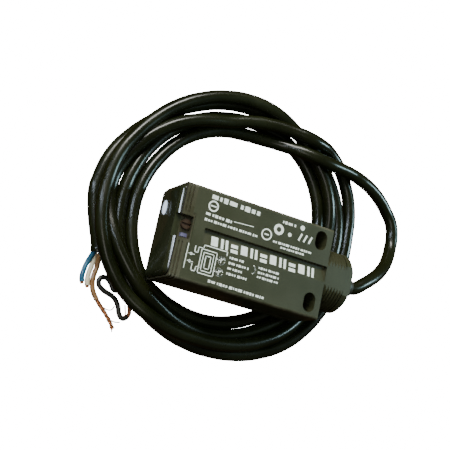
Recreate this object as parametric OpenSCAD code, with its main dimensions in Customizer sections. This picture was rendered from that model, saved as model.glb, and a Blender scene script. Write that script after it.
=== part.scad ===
// Photoelectric sensor with an M18 neck, a sensitivity adjuster and a loosely wound lead.
// X runs along the body to the neck, Y across it, Z out of the labelled face.
// The origin is on the neck's axis, where the neck leaves the body.

/* [Body] */
// Width of the body
body_w = 27; // [25:0.5:30]
// Thickness of the body, label face to back face
body_t = 16; // [15.5:0.5:17.5]
// Length of the flat label face
face_l = 44.5; // [42:0.5:50]
// Wall thickness of the housing
wall = 1.6; // [1.4:0.1:1.8]
// Radius along the long edges of the body
edge_r = 0.8; // [0.4:0.1:1]

/* [Neck] */
// Major diameter of the neck's thread
thread_d = 18; // [17:1:20]
// Pitch of the thread
pitch = 1; // [1, 1.5]
// Length of the neck
neck_l = 9; // [9:0.5:14]
// Distance from the axis to each flat on the neck
flat_h = 7.9; // [7.4:0.1:8]

/* [Mounting slots] */
// Width of a slot, along the body
slot_w = 3.8; // [3.2:0.1:4.2]
// End-to-end length of a slot, across the body
slot_l = 5.6; // [5:0.1:6.2]
// Distance between the two slots' centres
slot_pitch = 18.4; // [17.6:0.1:19]
// Distance from the slots' centres to the body's end
slot_inset = 3.7; // [3.2:0.1:4.2]

/* [Front] */
// Depth of the ribbed bezel
bezel_l = 3.1; // [3:0.1:4]
// How far the window stands out of the bezel
window_out = 1.4; // [1:0.1:1.8]
// Radius of the window's front edge
window_r = 1.9; // [1.2:0.1:2.2]

/* [Adjuster] */
// Diameter of the adjuster's head
adjuster_d = 2.8; // [2.4:0.1:2.9]
// Place of the adjuster's notch across the body
notch_y = 1; // [0.6:0.1:1.2]

/* [Lead] */
// Outer diameter of the cable
cable_d = 4; // [3.6:0.1:4]
// Outer diameter of a conductor
wire_d = 1.5; // [1.2:0.1:1.5]

/* [Hidden] */
$fn = 48;
eps = 0.01;

// Body and front
front_x = -face_l;                       // where the housing ends and the bezel starts
bezel_x = front_x - bezel_l;             // front of the bezel
window_x = bezel_x - window_out;         // face of the window
cavity_w = body_w - 2 * wall;
cavity_t = body_t - 2 * wall;
spigot_l = 1.7;                          // length of the housing's step inside the bezel
spigot_in = 0.9;                         // how far the step is set in
end_block = 7.6;                         // solid end of the body, with the slots
passage_d = 9;                           // wire passage from the cavity to the neck
passage_x = 1;                           // where the passage widens into the neck's bore
neck_bore_d = 12;
thread_depth = 0.61 * pitch;
thread_start = 0.7;
thread_turns = floor((neck_l - 2.3 - thread_start) / pitch);
channel_w = 4.6;                         // ramped channel in the label face
channel_deep = 1.1;
channel_l = 40;
rib_depth = 0.35;
rib_gap = 0.45;
rib_step = 1;
gasket_t = 0.35;
window_w = body_w - 0.6;
window_t = body_t - 0.2;
window_back = bezel_x + 0.6;             // back of the window's plug inside the bezel
plug_w = 23.4;
plug_t = 12.4;
fit_gap = 0.1;                           // clearance where one piece slips into another

// Adjuster: a screw in an open notch between the ribs, with a light guide beside it
notch_w = 6.4;
notch_floor = 6.2;
notch_back = front_x + 0.9;
notch_wall = 0.4;
tray_side = 0.9;
tray_bottom = notch_floor - 1;
adjuster_x = bezel_x + 2.1;
adjuster_y = notch_y + 0.8;
stem_r = 0.9;
running_gap = 0.05;
seal_r = 1.2;                            // middle radius of the seal
seal_cord_r = 0.17;
head_z = notch_floor + 0.1;
head_t = 1;
head_slot = 0.5;
pot_top = 4.5;
pot_t = 2;
pot_side = 2.8;
rotor_r = 1;
rotor_t = 0.5;
guide_y = notch_y - 2.3;
guide_w = 1;
guide_riser = 1.8;                       // length of the guide's upright end, along the body
guide_z = 3.7;
guide_t = 1.1;

// Optics
tube_y = 7.5;
tube_r = 3.3;
lens_r = 3.9;
lens_edge = 1;
lens_bulge_r = 9;                        // radius of the lens's curved front
lens_seat = 2;
block_front = window_back + 0.1;
block_l = 8.6;
block_back = block_front + block_l;
block_w = 23.2;
block_t = 12.2;
pocket_z = 1.3;

// Boards
board_t = 1;
optics_x = block_back + 1.2;
optics_w = 22;
optics_h = 11.6;
main_z = -3.2;
main_l = 25;
main_w = 21;
main_x = optics_x + board_t + 0.1;
top_z = main_z + board_t;
tongue_z = pot_top - pot_t - board_t;
lamp = [1.2, 0.8, 0.7];                  // size of a status lamp
lamp_x = [-43.6, -42, -40.4];

// Leads, neck filling and boot
lead_r = 0.6;                            // inner lead
lead_spread = 1.4;                       // inner leads' distance from the axis, each way
plug_r = passage_d / 2;
stub_x = 1.6;                            // where the cable starts inside the neck
sleeve_l = 3;
sleeve_wall = 0.6;
boot_x = neck_l - 3.6;
boot_l = 4.3;                            // length of boot outside the neck
boot_base_r = 4.2;
boot_tip_r = cable_d / 2 + 0.5;
exit_x = neck_l + boot_l;

// The lead lies on the surface one cable diameter below the body
floor_z = -body_t / 2 - cable_d;
lay_z = floor_z + cable_d / 2;
wire_z = floor_z + wire_d / 2;
coil_centre = [-25.4, 10];
// Inner and outer radius of the wound ring, every 30 degrees from +X
ring_in = [28.4, 29.8, 30.2, 26.8, 26.4, 26, 27.8, 30.6, 29.4, 27.8, 27.2, 27.4];
ring_out = [43.2, 45.8, 41.6, 40.4, 39.8, 41.4, 44.4, 40.2, 40.6, 40.2, 41.4, 42.6];
// Second layer of the ring, between two angles, set in from both edges
layer_from = 35;
layer_to = 300;
layer_in = 0.8;
layer_t = 3.5;

// Route of the cable from the boot to the ring
lead_route = [[exit_x, 0, 0], [15.4, 0.6, 0], [18.2, 2.7, -0.4], [22.2, 5.8, -1.8], [26.2, 9.7, -4.2],
              [29.4, 14, -7.2], [31.3, 18.6, -9.5], [31.5, 22.9, lay_z], [30.2, 27, lay_z],
              [27.4, 30.1, -9.7], [23.9, 32.4, -8.6], [19.5, 34.3, -7.2], [14.9, 35.6, -6.2],
              [10.4, 36.5, -5.9]];
// Route of the cable from the ring to its cut end
tail_route = [[-67.8, 8, lay_z], [-67.2, 4.4, lay_z], [-66.1, 0.6, lay_z], [-64.8, -3, lay_z],
              [-63.5, -6.2, lay_z], [-62.8, -8.8, lay_z]];
// Routes of the four conductors from the cut end
blue_route = [[-63.6, -8.4, -9.2], [-64, -10.6, -10.4], [-64.5, -12.8, wire_z], [-64.9, -15, wire_z],
              [-65, -17, wire_z], [-64.5, -19, wire_z]];
white_route = [[-63.5, -8.4, -10.8], [-62.8, -11, wire_z], [-63, -13.3, wire_z], [-63.3, -15.6, wire_z],
               [-63.2, -17.8, wire_z], [-62.7, -19.6, wire_z]];
brown_route = [[-62, -8.4, -9.2], [-61.8, -10.8, -10.2], [-61.4, -13.2, wire_z], [-61.7, -15.6, wire_z],
               [-61.6, -18, wire_z], [-60.8, -20.2, wire_z], [-59.3, -22.1, wire_z],
               [-57.4, -23.9, wire_z], [-55.5, -25.6, wire_z], [-53.9, -27.3, wire_z], [-52.6, -29, wire_z]];
black_route = [[-62, -8.4, -10.8], [-60.6, -9.8, wire_z], [-58.6, -11, wire_z], [-56.8, -12.6, wire_z],
               [-55, -14.2, wire_z], [-53.7, -16, wire_z], [-53.7, -17.7, wire_z], [-54.9, -18.2, wire_z],
               [-56.1, -17, wire_z], [-57.3, -15.8, wire_z], [-58.7, -15.5, wire_z], [-59.8, -16.3, wire_z],
               [-59.7, -17.8, wire_z], [-58.4, -18.9, wire_z], [-56.8, -19.5, wire_z],
               [-55.1, -20, wire_z], [-53.7, -21, wire_z], [-52.6, -22.6, wire_z], [-51.9, -24.3, wire_z],
               [-50.7, -25.3, wire_z], [-49.4, -24.6, wire_z], [-49, -22.9, wire_z], [-49.7, -21.3, wire_z]];

// One value of a list placed every 30 degrees, smoothly between its entries
function ring_r(list, a) =
    let (s = a / 30, k = floor(s), u = s - k, n = len(list),
         p = [for (j = [-1:2]) list[(k + j + n) % n]])
    0.5 * (2 * p[1] + (p[2] - p[0]) * u + (2 * p[0] - 5 * p[1] + 4 * p[2] - p[3]) * u * u
           + (3 * p[1] - p[0] - 3 * p[2] + p[3]) * u * u * u);
function ring_point(list, a, off = 0) =
    let (r = ring_r(list, a) + off) [coil_centre[0] + r * cos(a), coil_centre[1] + r * sin(a)];

// A unit vector, and the direction of a route at one of its points
function unit(v) = v / norm(v);
function heading(route, i) = unit(route[min(i + 1, len(route) - 1)] - route[max(i - 1, 0)]);

// A rectangle with round corners, centred
module round_rect(w, h, r) {
    square([w - 2 * r, h], center = true);
    square([w, h - 2 * r], center = true);
    for (x = [-1, 1], y = [-1, 1])
        translate([x * (w / 2 - r), y * (h / 2 - r)]) circle(r);
}

// A bar along X from x0 to x1 with round long edges
module bar_x(x0, x1, w, h, r) {
    translate([x0, 0, 0]) rotate([90, 0, 90]) linear_extrude(x1 - x0) round_rect(w, h, r);
}

// A rod along X from x0 to x1
module rod_x(x0, x1, r) {
    translate([x0, 0, 0]) rotate([0, 90, 0]) cylinder(h = x1 - x0, r = r);
}

// A box given by its lowest and highest corners
module block(low, high) {
    translate(low) cube(high - low);
}

// An obround slot through the body, running across it
module slot(y) {
    run = slot_l - slot_w;
    translate([-slot_inset, y, -body_t / 2 - eps]) {
        for (side = [-1, 1])
            translate([0, side * run / 2, 0]) cylinder(h = body_t + 2 * eps, d = slot_w);
        translate([-slot_w / 2, -run / 2, 0]) cube([slot_w, run, body_t + 2 * eps]);
    }
}

// A round lead swept along the points of a route
module lead(route, d, sides) {
    n = len(route);
    rings = [for (i = [0:n - 1])
        let (t = heading(route, i), side = unit(cross([0, 0, 1], t)), up = cross(t, side))
        for (k = [0:sides - 1]) route[i] + d / 2 * (cos(360 * k / sides) * side + sin(360 * k / sides) * up)];
    walls = [for (i = [0:n - 2], k = [0:sides - 1])
        let (a = i * sides + k, b = i * sides + (k + 1) % sides) [a, a + sides, b + sides, b]];
    near_end = [for (k = [0:sides - 1]) k];
    far_end = [for (k = [sides - 1:-1:0]) (n - 1) * sides + k];
    polyhedron(rings, concat([near_end, far_end], walls), convexity = 10);
}

// The thread's profile turned round the neck, one ridge for each turn
module thread_ridges() {
    root_r = thread_d / 2 - thread_depth;
    crest = pitch / 8;
    for (k = [0:thread_turns - 1])
        translate([thread_start + k * pitch, 0, 0]) rotate([0, 90, 0]) rotate_extrude($fn = 72)
            polygon([[root_r - 0.2, 0], [root_r, 0], [thread_d / 2, pitch / 2 - crest / 2],
                     [thread_d / 2, pitch / 2 + crest / 2], [root_r, pitch], [root_r - 0.2, pitch]]);
}

module neck() {
    tip_x = thread_start + thread_turns * pitch;
    chamfer = 0.6;
    difference() {
        union() {
            rod_x(-1, neck_l - eps, thread_d / 2 - thread_depth, $fn = 72);
            thread_ridges();
            translate([tip_x, 0, 0]) rotate([0, 90, 0]) cylinder(h = neck_l - chamfer - tip_x, d = thread_d, $fn = 72);
            translate([neck_l - chamfer, 0, 0]) rotate([0, 90, 0])
                cylinder(h = chamfer, d1 = thread_d, d2 = thread_d - 2 * chamfer, $fn = 72);
        }
        for (side = [-1, 1])
            translate([-1 - eps, -thread_d, side == 1 ? flat_h : -flat_h - thread_d])
                cube([neck_l + 2, 2 * thread_d, thread_d]);
    }
}

// Ramped channel in the label face: deep along its +Y wall, running out to nothing
module channel() {
    translate([-channel_l, 0, 0]) rotate([90, 0, 90]) linear_extrude(channel_l + neck_l)
        polygon([[channel_w / 2, body_t / 2 + 1], [channel_w / 2, body_t / 2 - channel_deep],
                 [channel_w / 2 - 0.9, body_t / 2 - channel_deep], [-channel_w / 2, body_t / 2 - 0.12],
                 [-channel_w / 2, body_t / 2 + 1]]);
}

module housing() color([0.33, 0.33, 0.24]) {
    difference() {
        union() {
            bar_x(front_x, 0, body_w, body_t, edge_r);
            bar_x(front_x - spigot_l, front_x + eps, body_w - 2 * spigot_in, body_t - 2 * spigot_in, edge_r);
            neck();
        }
        bar_x(front_x - spigot_l - eps, -end_block, cavity_w, cavity_t, 0.6);
        rod_x(-end_block - eps, passage_x + eps, passage_d / 2);
        rod_x(passage_x, neck_l + eps, neck_bore_d / 2);
        for (side = [-1, 1]) slot(side * slot_pitch / 2);
        intersection() {
            channel();
            block([-channel_l, -body_w, 0], [0, body_w, body_t]);
        }
        block([front_x - spigot_l - 1, notch_y - notch_w / 2 - tray_side - fit_gap, tray_bottom - fit_gap],
              [notch_back + fit_gap, notch_y + notch_w / 2 + tray_side + fit_gap, body_t]);
    }
}

module front_bezel() color([0.36, 0.35, 0.26]) {
    difference() {
        union() {
            difference() {
                bar_x(bezel_x, front_x, body_w, body_t, edge_r);
                for (k = [0:1]) rib_groove(bezel_x + 0.6 + rib_step * k);
                bar_x(front_x - spigot_l - fit_gap, front_x + eps, body_w - 2 * spigot_in + 2 * fit_gap,
                      body_t - 2 * spigot_in + 2 * fit_gap, edge_r);
                bar_x(bezel_x - eps, front_x, plug_w + 2 * fit_gap, plug_t + 2 * fit_gap, 1);
            }
            block([window_back, notch_y - notch_w / 2 - tray_side, tray_bottom],
                  [notch_back, notch_y + notch_w / 2 + tray_side, body_t / 2]);
        }
        block([bezel_x - 1, notch_y - notch_w / 2, notch_floor],
              [notch_back - notch_wall, notch_y + notch_w / 2, body_t]);
        translate([adjuster_x, adjuster_y, tray_bottom - 1]) cylinder(h = 5, r = stem_r + running_gap);
        translate([adjuster_x, adjuster_y, notch_floor - 2 * seal_cord_r]) cylinder(h = 2, r = seal_r + seal_cord_r);
        block([adjuster_x - guide_riser / 2 - fit_gap, guide_y - guide_w / 2 - fit_gap, tray_bottom - 1],
              [adjuster_x + guide_riser / 2 + fit_gap, guide_y + guide_w / 2 + fit_gap, body_t]);
    }
}

// One groove between the bezel's ribs, round the whole bezel
module rib_groove(x) {
    difference() {
        bar_x(x, x + rib_gap, body_w + 2, body_t + 2, edge_r);
        bar_x(x - eps, x + rib_gap + eps, body_w - 2 * rib_depth, body_t - 2 * rib_depth, edge_r);
    }
}

module window_gasket() color([0.06, 0.06, 0.06]) {
    inset = 0.9;
    difference() {
        bar_x(bezel_x - gasket_t, bezel_x, window_w - inset, window_t - inset, 1.4);
        bar_x(bezel_x - 1, bezel_x + 1, plug_w + 2 * fit_gap, plug_t + 2 * fit_gap, 1);
        block([bezel_x - 1, notch_y - notch_w / 2, notch_floor], [bezel_x + 1, notch_y + notch_w / 2, body_t]);
    }
}

// A bar along X whose front edges and corners are rounded to the same radius
module pillow_x(x0, x1, w, h, r) {
    translate([x0 + r, 0, 0]) {
        for (y = [-1, 1], z = [-1, 1])
            translate([0, y * (w / 2 - r), z * (h / 2 - r)]) sphere(r);
        for (y = [-1, 1])
            translate([0, y * (w / 2 - r), -h / 2 + r]) cylinder(h = h - 2 * r, r = r);
        for (z = [-1, 1])
            translate([0, w / 2 - r, z * (h / 2 - r)]) rotate([90, 0, 0]) cylinder(h = w - 2 * r, r = r);
    }
    block([x0, -w / 2 + r, -h / 2 + r], [x0 + r, w / 2 - r, h / 2 - r]);
    bar_x(x0 + r, x1, w, h, r);
}

module front_window() color([0.1, 0.1, 0.14]) {
    difference() {
        union() {
            intersection() {
                pillow_x(window_x, bezel_x + 2, window_w, window_t, window_r);
                block([window_x - 1, -body_w, -body_t], [bezel_x - gasket_t, body_w, body_t]);
            }
            bar_x(bezel_x - gasket_t - eps, window_back, plug_w, plug_t, 1);
        }
        block([window_x - 1, notch_y - notch_w / 2, notch_floor + 0.2],
              [window_back, notch_y + notch_w / 2, body_t]);
    }
}

module lens_block() color([0.13, 0.13, 0.13]) {
    difference() {
        block([block_front, -block_w / 2, -block_t / 2], [block_back, block_w / 2, block_t / 2]);
        for (side = [-1, 1]) translate([0, side * tube_y, 0]) {
            rod_x(block_front - eps, block_back + eps, tube_r);
            rod_x(block_front - eps, block_front + lens_seat, lens_r + running_gap);
        }
        block([block_front - 1, guide_y - guide_w / 2 - 0.5, pocket_z],
              [block_back + 1, adjuster_y + pot_side / 2 + 0.2, body_t]);
        block([block_front - 1, notch_y - notch_w / 2 - tray_side - 0.2, tray_bottom - fit_gap],
              [block_back + 1, notch_y + notch_w / 2 + tray_side + 0.2, body_t]);
    }
}

// Plano-convex lens, curved side towards the window
module lens_at(side) {
    flat_x = block_front + lens_seat;
    intersection() {
        translate([0, side * tube_y, 0]) rod_x(block_front, flat_x, lens_r);
        translate([flat_x - lens_edge - (lens_bulge_r - sqrt(lens_bulge_r * lens_bulge_r - lens_r * lens_r))
                   + lens_bulge_r, side * tube_y, 0]) sphere(lens_bulge_r, $fn = 96);
    }
}

module emitter_lens() color([0.72, 0.76, 0.8]) lens_at(-1);
module receiver_lens() color([0.68, 0.74, 0.8]) lens_at(1);

module emitter_led() color([0.75, 0.2, 0.2]) {
    led_r = 2.5;
    translate([0, -tube_y, 0]) {
        rod_x(optics_x - 1, optics_x, led_r + 0.4);
        rod_x(optics_x - 4, optics_x, led_r);
        translate([optics_x - 4, 0, 0]) sphere(led_r);
    }
}

module receiver_diode() color([0.5, 0.5, 0.5]) {
    can_r = 2.35;
    translate([0, tube_y, 0]) difference() {
        union() {
            rod_x(optics_x - 0.5, optics_x, can_r + 0.35);
            rod_x(optics_x - 2.6, optics_x, can_r);
        }
        rod_x(optics_x - 3, optics_x - 2.3, 1.6);
    }
}

module optics_board() color([0.1, 0.34, 0.18])
    block([optics_x, -optics_w / 2, -optics_h / 2], [optics_x + board_t, optics_w / 2, optics_h / 2]);

module main_board() color([0.1, 0.34, 0.18])
    block([main_x, -main_w / 2, main_z], [main_x + main_l, main_w / 2, top_z]);

module board_header() color([0.08, 0.08, 0.08])
    block([main_x, -7, top_z], [main_x + 1.6, 7, top_z + 2.4]);

module controller_chip() color([0.08, 0.08, 0.09])
    block([main_x + 12, -3.5, top_z], [main_x + 17, 1.5, top_z + 1.1]);

// Sheet-metal cover over the receiver's amplifier, open below
module amplifier_shield() color([0.75, 0.76, 0.78]) {
    sheet = 0.2;
    low = [main_x + 3, 0, top_z];
    high = [main_x + 11, 8, top_z + 3];
    difference() {
        block(low, high);
        block(low + [sheet, sheet, -1], high - [sheet, sheet, sheet]);
    }
}

module regulator() color([0.1, 0.1, 0.1]) {
    block([main_x + 18.6, 4.5, top_z], [main_x + 22.1, 9.5, top_z + 1.5]);
    block([main_x + 17.2, 5.5, top_z], [main_x + 18.6, 8.5, top_z + 0.5]);
}

module output_transistors() color([0.1, 0.1, 0.1])
    for (k = [0:1])
        block([main_x + 18.4, -9.9 + 3.3 * k, top_z], [main_x + 20, -7 + 3.3 * k, top_z + 1.1]);

module capacitors() color([0.78, 0.78, 0.76]) {
    for (k = [0:1])
        translate([main_x + 5.2 + 4.6 * k, -7.2, top_z]) cylinder(h = 4.2, r = 2);
    for (k = [0:2])
        block([main_x + 3 + 2.4 * k, -4.2, top_z], [main_x + 4.6 + 2.4 * k, -3.4, top_z + 0.8]);
}

module resistors() color([0.16, 0.16, 0.18])
    for (k = [0:4])
        block([main_x + 12 + 1.3 * k, 3.4, top_z], [main_x + 12.8 + 1.3 * k, 5, top_z + 0.5]);

// Narrow board that carries the potentiometer and the status lamps
module adjuster_board() color([0.1, 0.34, 0.18])
    block([block_front + 0.1, guide_y - guide_w / 2 - 0.3, tongue_z],
          [optics_x, adjuster_y + pot_side / 2 + 0.1, tongue_z + board_t]);

module potentiometer() color([0.12, 0.2, 0.5]) {
    difference() {
        translate([adjuster_x, adjuster_y, pot_top - pot_t / 2]) cube([pot_side, pot_side, pot_t], center = true);
        translate([adjuster_x, adjuster_y, pot_top - rotor_t - running_gap])
            cylinder(h = 2, r = rotor_r + running_gap);
    }
}

module status_lamp(k)
    block([lamp_x[k] - lamp[0] / 2, guide_y - lamp[1] / 2, tongue_z + board_t],
          [lamp_x[k] + lamp[0] / 2, guide_y + lamp[1] / 2, tongue_z + board_t + lamp[2]]);

module power_led() color([0.2, 0.8, 0.3]) status_lamp(0);
module output_led() color([0.95, 0.75, 0.15]) status_lamp(1);
module margin_led() color([0.95, 0.45, 0.1]) status_lamp(2);

// Clear guide that carries the lamps' light up into the notch
module light_guide() color([0.85, 0.9, 0.92]) {
    low_x = adjuster_x - guide_riser / 2;
    block([low_x, guide_y - guide_w / 2, guide_z], [lamp_x[2] + 1, guide_y + guide_w / 2, guide_z + guide_t]);
    block([low_x, guide_y - guide_w / 2, guide_z], [low_x + guide_riser, guide_y + guide_w / 2, head_z + head_t]);
}

module adjuster_screw() color([0.2, 0.18, 0.15])
    translate([adjuster_x, adjuster_y, 0]) difference() {
        union() {
            translate([0, 0, head_z]) cylinder(h = head_t, d = adjuster_d);
            translate([0, 0, pot_top]) cylinder(h = head_z - pot_top + eps, r = stem_r);
        }
        translate([-adjuster_d, -head_slot / 2, head_z + head_t / 2]) cube([2 * adjuster_d, head_slot, head_t]);
    }

module pot_rotor() color([0.85, 0.82, 0.74])
    translate([adjuster_x, adjuster_y, pot_top - rotor_t]) cylinder(h = rotor_t, r = rotor_r);

module adjuster_seal() color([0.05, 0.05, 0.05])
    translate([adjuster_x, adjuster_y, notch_floor - seal_cord_r])
        rotate_extrude($fn = 64) translate([seal_r, 0]) circle(seal_cord_r, $fn = 24);

// Four inner leads from the main board to the cable, two above the axis and two below
module board_leads() color([0.5, 0.3, 0.2])
    for (y = [-1, 1], z = [-1, 1])
        lead([[main_x + main_l - 4.4 + z * 1.6, y * (3.6 + z * 0.9), top_z + lead_r],
              [main_x + main_l - 2 + z, y * (3.4 + z * 0.7), top_z + lead_r + 0.1],
              [-9.5, y * 2, z * lead_spread + 0.2],
              [-7.4, y * lead_spread, z * lead_spread],
              [-3, y * lead_spread, z * lead_spread],
              [stub_x, y * lead_spread, z * lead_spread]], 2 * lead_r, 8);

module potting_plug() color([0.12, 0.12, 0.12])
    difference() {
        rod_x(-end_block + 1, passage_x - 0.2, plug_r);
        for (y = [-1, 1], z = [-1, 1])
            translate([0, y * lead_spread, z * lead_spread]) rod_x(-end_block, passage_x, lead_r + running_gap);
    }

module cable_stub() color([0.09, 0.09, 0.08]) rod_x(stub_x, exit_x, cable_d / 2);

module crimp_sleeve() color([0.8, 0.8, 0.8])
    difference() {
        rod_x(stub_x, stub_x + sleeve_l, cable_d / 2 + sleeve_wall);
        rod_x(stub_x - 1, stub_x + sleeve_l + 1, cable_d / 2);
    }

module cable_boot() color([0.1, 0.1, 0.09])
    rotate([0, 90, 0]) rotate_extrude()
        polygon([[cable_d / 2, boot_x], [neck_bore_d / 2, boot_x], [neck_bore_d / 2, neck_l],
                 [boot_base_r, neck_l], [boot_base_r - 0.6, neck_l + 0.8],
                 [boot_tip_r, exit_x - 0.6], [boot_tip_r, exit_x], [cable_d / 2, exit_x]]);

module cable_lead() color([0.09, 0.09, 0.08]) lead(lead_route, cable_d, 10);
module cable_tail() color([0.09, 0.09, 0.08]) lead(tail_route, cable_d, 10);

// The wound ring as one solid: a full lower layer, and a second layer clear of the body
module cable_coil() color([0.09, 0.09, 0.08]) {
    step = 10;
    translate([0, 0, floor_z]) linear_extrude(cable_d) difference() {
        polygon([for (a = [0:step:360 - step]) ring_point(ring_out, a)]);
        polygon([for (a = [0:step:360 - step]) ring_point(ring_in, a)]);
    }
    difference() {
        translate([0, 0, floor_z + cable_d - 0.5]) linear_extrude(layer_t + 0.5)
            polygon(concat([for (a = [layer_from:5:layer_to]) ring_point(ring_out, a, -layer_in)],
                           [for (a = [layer_to:-5:layer_from]) ring_point(ring_in, a, layer_in)]));
        block([window_x - 0.6, -body_w / 2 - 0.4, floor_z + cable_d], [1, body_w / 2 + 0.4, body_t]);
    }
}

module wire_brown() color([0.45, 0.27, 0.14]) lead(brown_route, wire_d, 8);
module wire_blue() color([0.2, 0.42, 0.5]) lead(blue_route, wire_d, 8);
module wire_white() color([0.82, 0.8, 0.72]) lead(white_route, wire_d, 8);
module wire_black() color([0.08, 0.08, 0.08]) lead(black_route, wire_d, 8);

housing();
front_bezel();
window_gasket();
front_window();
lens_block();
emitter_lens();
receiver_lens();
emitter_led();
receiver_diode();
optics_board();
main_board();
board_header();
controller_chip();
amplifier_shield();
regulator();
output_transistors();
capacitors();
resistors();
adjuster_board();
potentiometer();
power_led();
output_led();
margin_led();
light_guide();
adjuster_screw();
pot_rotor();
adjuster_seal();
board_leads();
potting_plug();
cable_stub();
crimp_sleeve();
cable_boot();
cable_lead();
cable_coil();
cable_tail();
wire_brown();
wire_blue();
wire_white();
wire_black();
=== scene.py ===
"""A photoelectric sensor on its wound lead: dressed body, printed face, cable and bared conductors.

Every length is in millimetres and is turned into metres by MM where it meets the scene. The frame is the
part's own: X along the body to the neck, Y across it, Z out of the label face, origin at the neck's root.
"""
import logging
import math
from dataclasses import dataclass, field
from enum import Enum

import bmesh
import bpy
from mathutils import Matrix, Vector

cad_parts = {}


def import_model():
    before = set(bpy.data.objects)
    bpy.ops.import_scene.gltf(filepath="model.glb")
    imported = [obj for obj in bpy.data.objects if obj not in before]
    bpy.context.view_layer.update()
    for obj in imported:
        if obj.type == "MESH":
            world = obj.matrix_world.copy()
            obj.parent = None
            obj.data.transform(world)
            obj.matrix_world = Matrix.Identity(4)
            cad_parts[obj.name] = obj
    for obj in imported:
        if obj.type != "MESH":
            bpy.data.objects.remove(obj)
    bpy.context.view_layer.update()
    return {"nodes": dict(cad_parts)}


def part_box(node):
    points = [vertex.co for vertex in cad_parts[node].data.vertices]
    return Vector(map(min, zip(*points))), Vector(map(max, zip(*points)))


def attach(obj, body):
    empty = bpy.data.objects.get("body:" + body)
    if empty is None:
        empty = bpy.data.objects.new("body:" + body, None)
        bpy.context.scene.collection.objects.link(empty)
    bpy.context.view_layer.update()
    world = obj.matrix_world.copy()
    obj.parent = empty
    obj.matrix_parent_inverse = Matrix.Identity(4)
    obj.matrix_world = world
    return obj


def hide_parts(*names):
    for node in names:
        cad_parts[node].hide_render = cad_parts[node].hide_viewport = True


MM = 0.001
Point = tuple[float, float, float]
Flat = tuple[float, float]
Rgb = tuple[float, float, float]
Tree = bpy.types.NodeTree
Socket = bpy.types.NodeSocket
Piece = bpy.types.Object
UP = Vector((0, 0, 1))
BUMP_STRENGTH = 0.6
COAT_ROUGHNESS = 0.08
FACING = 0.9  # how far along an axis a normal has to point to count as facing it
log = logging.getLogger("sensor")


# ---------------------------------------------------------------- shared effects

def group_tree(name: str, inputs: dict[str, float | Rgb], outputs: dict[str, str]) -> Tree:
    """Starts a shader node group with named sockets.

    Args:
        name: the group's name.
        inputs: each input's name and value; a triple makes a vector, a number makes a float.
        outputs: each output's name and socket type.

    Returns:
        The new tree, holding only its input and output nodes.
    """
    tree = bpy.data.node_groups.new(name, "ShaderNodeTree")
    for label, value in inputs.items():
        kind = "NodeSocketVector" if isinstance(value, tuple) else "NodeSocketFloat"
        socket = tree.interface.new_socket(name=label, in_out="INPUT", socket_type=kind)
        socket.default_value = value
    for label, kind in outputs.items():
        tree.interface.new_socket(name=label, in_out="OUTPUT", socket_type=kind)
    tree.nodes.new("NodeGroupInput").name = "In"
    tree.nodes.new("NodeGroupOutput").name = "Out"
    return tree


def noise(tree: Tree, vector: Socket, scale: float | Socket, detail: float) -> Socket:
    """Adds a noise texture to a tree.

    Args:
        tree: where the texture goes.
        vector: the place it is read at.
        scale: its scale, as a number or a socket.
        detail: its number of octaves.

    Returns:
        The noise's factor.
    """
    node = tree.nodes.new("ShaderNodeTexNoise")
    node.inputs["Detail"].default_value = detail
    tree.links.new(vector, node.inputs["Vector"])
    if isinstance(scale, (int, float)):
        node.inputs["Scale"].default_value = scale
    else:
        tree.links.new(scale, node.inputs["Scale"])
    return node.outputs["Fac"]


def calc(tree: Tree, operation: str, *values: float | Socket, clamp: bool = False) -> Socket:
    """Adds a maths node.

    Args:
        tree: where the node goes.
        operation: the node's operation.
        values: its inputs, numbers or sockets.
        clamp: whether the answer is held between 0 and 1.

    Returns:
        The node's answer.
    """
    node = tree.nodes.new("ShaderNodeMath")
    node.operation = operation
    node.use_clamp = clamp
    for socket, value in zip(node.inputs, values):
        if isinstance(value, (int, float)):
            socket.default_value = value
        else:
            tree.links.new(value, socket)
    return node.outputs[0]


def remap(tree: Tree, value: Socket, low: float, high: float, to_low: float | Socket,
          to_high: float | Socket) -> Socket:
    """Adds a map range node, held at both ends.

    Args:
        tree: where the node goes.
        value: the value it reads.
        low: the value that becomes to_low.
        high: the value that becomes to_high.
        to_low: lower end of the answer, a number or a socket.
        to_high: upper end of the answer, a number or a socket.

    Returns:
        The node's answer.
    """
    node = tree.nodes.new("ShaderNodeMapRange")
    tree.links.new(value, node.inputs["Value"])
    node.inputs["From Min"].default_value = low
    node.inputs["From Max"].default_value = high
    for label, end in (("To Min", to_low), ("To Max", to_high)):
        if isinstance(end, (int, float)):
            node.inputs[label].default_value = end
        else:
            tree.links.new(end, node.inputs[label])
    return node.outputs["Result"]


def moulded_grain() -> Tree:
    """The fine grain, cloudy tone and gloss variation of a moulded or drawn surface.

    Returns:
        A group whose outputs are Tone (0 to 1), Roughness and Height (0 to 1).
    """
    inputs = {"Vector": (0.0, 0.0, 0.0), "Clouds": 120.0, "Grain": 2500.0, "Smooth": 0.4, "Rough": 0.6}
    outputs = dict.fromkeys(("Tone", "Roughness", "Height"), "NodeSocketFloat")
    tree = group_tree("moulded_grain", inputs, outputs)
    into, out = tree.nodes["In"], tree.nodes["Out"]
    cloud_share = 0.7
    clouds = noise(tree, into.outputs["Vector"], into.outputs["Clouds"], 4.0)
    grain = noise(tree, into.outputs["Vector"], into.outputs["Grain"], 2.0)
    blend = calc(tree, "ADD", calc(tree, "MULTIPLY", clouds, cloud_share),
                 calc(tree, "MULTIPLY", grain, 1 - cloud_share))
    tree.links.new(remap(tree, blend, 0.35, 0.65, 0.0, 1.0), out.inputs["Tone"])
    tree.links.new(remap(tree, clouds, 0.3, 0.7, into.outputs["Smooth"], into.outputs["Rough"]),
                   out.inputs["Roughness"])
    tree.links.new(grain, out.inputs["Height"])
    return tree


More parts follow.
